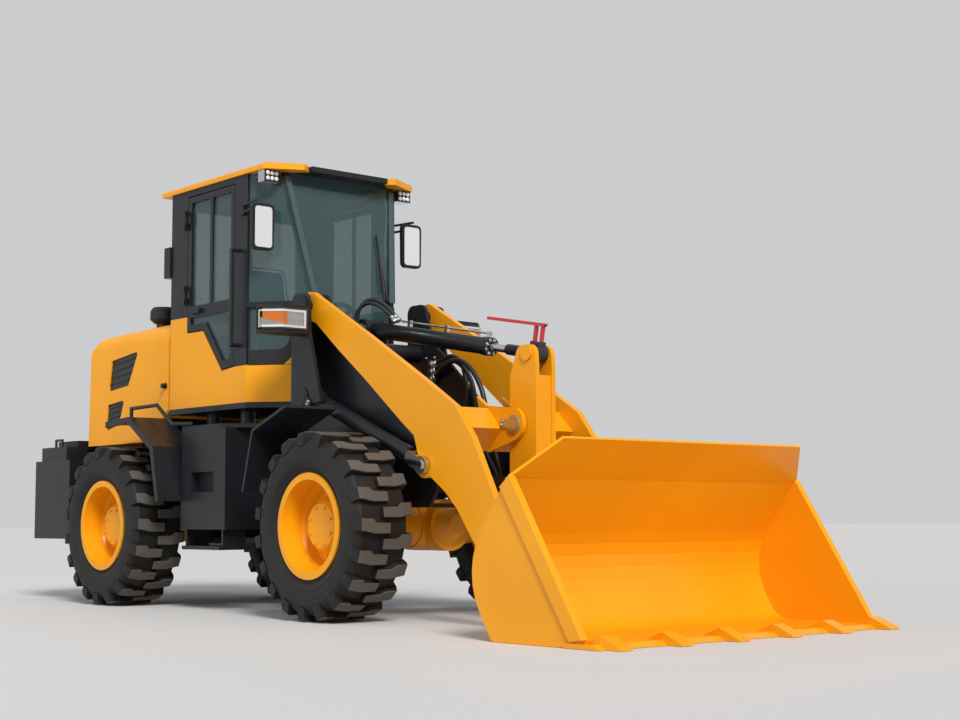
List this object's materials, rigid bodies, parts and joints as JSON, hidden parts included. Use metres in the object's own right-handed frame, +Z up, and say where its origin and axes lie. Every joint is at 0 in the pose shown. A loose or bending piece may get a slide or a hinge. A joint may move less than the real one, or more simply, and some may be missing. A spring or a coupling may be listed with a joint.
{
  "type": "articulated wheel loader",
  "caption": "Compact articulated wheel loader: steering frames, cab with doors, tilting hood and a Z-bar lift arm with a toothed bucket for digging, lifting and loading loose material.",
  "frame": {"origin": "on the ground, under the centre of the machine's overall box", "axes": "+X points to the bucket, +Y to the machine's left, +Z up"},
  "size_m": [7.124, 2.36, 3.098],
  "materials": {
    "frame_paint": "dark blue-grey paint, satin",
    "yellow_paint": "warm yellow paint, gloss",
    "tinted_glass": "blue-grey tinted glass",
    "seat_cover": "black cover",
    "black_plastic": "black plastic",
    "black_paint": "black paint",
    "lamp_lens": "clear lamp",
    "chrome": "hard chrome",
    "pin_steel": "zinc plated steel",
    "red_paint": "red paint",
    "tyre_rubber": "black rubber"
  },
  "bodies": {
    "rear": {"rear_frame": "frame_paint", "rear_axle": "yellow_paint", "engine": "frame_paint", "counterweight": "frame_paint", "cab_floor": "frame_paint", "cab_pillars": "frame_paint", "cab_panels": "yellow_paint", "cab_roof": "yellow_paint", "cab_glass": "tinted_glass", "seat": "seat_cover", "steering_column": "black_plastic", "rear_fenders": "frame_paint", "platforms": "frame_paint", "handrails": "black_paint", "mirrors": "black_plastic", "work_lights": "lamp_lens", "tail_lamps": "red_paint", "roof_panel": "black_plastic", "steering_wheel": "black_plastic", "dash_panel": "black_plastic"},
    "hood": {"hood": "yellow_paint", "hood_grilles": "black_paint", "intake_cap": "black_plastic"},
    "door_right": {"door_right": "frame_paint", "door_right_glass": "tinted_glass"},
    "door_left": {"door_left": "frame_paint", "door_left_glass": "tinted_glass"},
    "front": {"front_frame": "frame_paint", "front_axle": "yellow_paint", "front_fenders": "frame_paint", "headlamps": "black_plastic", "headlamp_lenses": "lamp_lens"},
    "boom": {"boom": "yellow_paint"},
    "lift_barrels": {"lift_barrels": "frame_paint"},
    "lift_rods": {"lift_rods": "chrome"},
    "rocker_pin": {"rocker_pin": "pin_steel"},
    "rocker": {"rocker": "yellow_paint"},
    "link_pin": {"link_pin": "pin_steel"},
    "bucket_link": {"bucket_link": "yellow_paint"},
    "bucket_pins": {"bucket_pins": "pin_steel"},
    "bucket": {"bucket": "yellow_paint", "bucket_teeth": "yellow_paint"},
    "tilt_barrel": {"tilt_pin": "pin_steel", "tilt_barrel": "frame_paint", "level_rod": "chrome"},
    "tilt_rod": {"tilt_rod": "chrome", "level_indicator": "red_paint"},
    "steer_barrel_right": {"steer_barrel_right": "frame_paint"},
    "steer_rod_right": {"steer_rod_right": "chrome"},
    "steer_barrel_left": {"steer_barrel_left": "frame_paint"},
    "steer_rod_left": {"steer_rod_left": "chrome"},
    "wheel_front_left": {"rim_front_left": "yellow_paint", "tyre_front_left": "tyre_rubber"},
    "wheel_front_right": {"rim_front_right": "yellow_paint", "tyre_front_right": "tyre_rubber"},
    "wheel_rear_left": {"rim_rear_left": "yellow_paint", "tyre_rear_left": "tyre_rubber"},
    "wheel_rear_right": {"rim_rear_right": "yellow_paint", "tyre_rear_right": "tyre_rubber"}
  },
  "joints": [
    {"name": "steer", "type": "hinge", "parent": "rear", "child": "front", "pos_m": [-0.617, 0, 0.75], "axis": [0, 0, 1], "range_deg": [-35, 35]},
    {"name": "boom_lift", "type": "hinge", "parent": "front", "child": "boom", "pos_m": [0.088, 0, 2.06], "axis": [0, -1, 0], "range_deg": [0, 65]},
    {"name": "bucket_pins_turn", "type": "hinge", "parent": "boom", "child": "bucket_pins", "pos_m": [2.288, 0, 0.3], "axis": [0, 1, 0], "range_deg": [-0.01, 65.01]},
    {"name": "bucket_tilt", "type": "hinge", "parent": "bucket_pins", "child": "bucket", "pos_m": [2.288, 0, 0.3], "axis": [0, 1, 0], "range_deg": [-38, 42]},
    {"name": "rocker_pin_turn", "type": "hinge", "parent": "boom", "child": "rocker_pin", "pos_m": [1.688, 0, 1.2], "axis": [0, -1, 0], "range_deg": [-0.01, 13.24]},
    {"name": "rocker_turn", "type": "hinge", "parent": "rocker_pin", "child": "rocker", "pos_m": [1.688, 0, 1.2], "axis": [0, -1, 0], "range_deg": [-8, 8]},
    {"name": "link_pin_turn", "type": "hinge", "parent": "rocker", "child": "link_pin", "pos_m": [1.778, 0, 0.433], "axis": [0, -1, 0], "range_deg": [-45.07, 0.01]},
    {"name": "link_turn", "type": "hinge", "parent": "link_pin", "child": "bucket_link", "pos_m": [1.778, 0, 0.433], "axis": [0, -1, 0], "range_deg": [-19, 18]},
    {"name": "tilt_barrel_turn", "type": "hinge", "parent": "front", "child": "tilt_barrel", "pos_m": [0.084, 0, 1.939], "axis": [0, -1, 0], "range_deg": [-1, 64]},
    {"name": "tilt_rod_slide", "type": "slide", "parent": "tilt_barrel", "child": "tilt_rod", "axis": [0.9843, 0, -0.1763], "range_m": [-0.054, 0.049]},
    {"name": "lift_barrel_turn", "type": "hinge", "parent": "front", "child": "lift_barrels", "pos_m": [0.108, 0, 1.448], "axis": [0, -1, 0], "range_deg": [-1, 63]},
    {"name": "lift_rod_slide", "type": "slide", "parent": "lift_barrels", "child": "lift_rods", "axis": [0.9272, 0, -0.3747], "range_m": [-0.004, 0.657]},
    {"name": "steer_barrel_right_turn", "type": "hinge", "parent": "rear", "child": "steer_barrel_right", "pos_m": [-1.252, -0.33, 0.75], "axis": [0, 0, 1], "range_deg": [-9, 9]},
    {"name": "steer_rod_right_slide", "type": "slide", "parent": "steer_barrel_right", "child": "steer_rod_right", "axis": [0.9994, 0.0353, 0], "range_m": [-0.186, 0.186]},
    {"name": "steer_barrel_left_turn", "type": "hinge", "parent": "rear", "child": "steer_barrel_left", "pos_m": [-1.252, 0.33, 0.75], "axis": [0, 0, 1], "range_deg": [-9, 9]},
    {"name": "steer_rod_left_slide", "type": "slide", "parent": "steer_barrel_left", "child": "steer_rod_left", "axis": [0.9994, -0.0353, 0], "range_m": [-0.186, 0.186]},
    {"name": "wheel_front_left_spin", "type": "hinge", "parent": "front", "child": "wheel_front_left", "pos_m": [0.728, 0.796, 0.5875], "axis": [0, 1, 0], "continuous": true},
    {"name": "wheel_front_right_spin", "type": "hinge", "parent": "front", "child": "wheel_front_right", "pos_m": [0.728, -0.796, 0.5875], "axis": [0, 1, 0], "continuous": true},
    {"name": "wheel_rear_left_spin", "type": "hinge", "parent": "rear", "child": "wheel_rear_left", "pos_m": [-1.962, 0.796, 0.5875], "axis": [0, 1, 0], "continuous": true},
    {"name": "wheel_rear_right_spin", "type": "hinge", "parent": "rear", "child": "wheel_rear_right", "pos_m": [-1.962, -0.796, 0.5875], "axis": [0, 1, 0], "continuous": true},
    {"name": "door_right_open", "type": "hinge", "parent": "rear", "child": "door_right", "pos_m": [-1.346, -0.657, 2.4], "axis": [0, 0, -1], "range_deg": [0, 95]},
    {"name": "door_left_open", "type": "hinge", "parent": "rear", "child": "door_left", "pos_m": [-1.346, 0.657, 2.4], "axis": [0, 0, 1], "range_deg": [0, 95]},
    {"name": "hood_tilt", "type": "hinge", "parent": "rear", "child": "hood", "pos_m": [-2.912, 0, 1.17], "axis": [0, -1, 0], "range_deg": [0, 45]}
  ],
  "couplings": [
    {"joint": "bucket_pins_turn", "follows": "boom_lift", "ratio": 1},
    {"joint": "rocker_pin_turn", "follows": "boom_lift", "ratio": 0.2036},
    {"joint": "rocker_turn", "follows": "bucket_tilt", "ratio": 0.1765},
    {"joint": "link_pin_turn", "follows": "boom_lift", "ratio": -0.6932},
    {"joint": "link_turn", "follows": "bucket_tilt", "ratio": -0.4374},
    {"joint": "tilt_barrel_turn", "follows": "boom_lift", "ratio": 0.9636},
    {"joint": "tilt_rod_slide", "follows": "bucket_tilt", "m_per_rad": -0.06758},
    {"joint": "lift_barrel_turn", "follows": "boom_lift", "ratio": 0.9558},
    {"joint": "lift_rod_slide", "follows": "boom_lift", "m_per_rad": 0.5756},
    {"joint": "steer_barrel_right_turn", "follows": "steer", "ratio": 0.2203},
    {"joint": "steer_rod_right_slide", "follows": "steer", "m_per_rad": 0.2985},
    {"joint": "steer_barrel_left_turn", "follows": "steer", "ratio": 0.2203},
    {"joint": "steer_rod_left_slide", "follows": "steer", "m_per_rad": -0.2985}
  ]
}
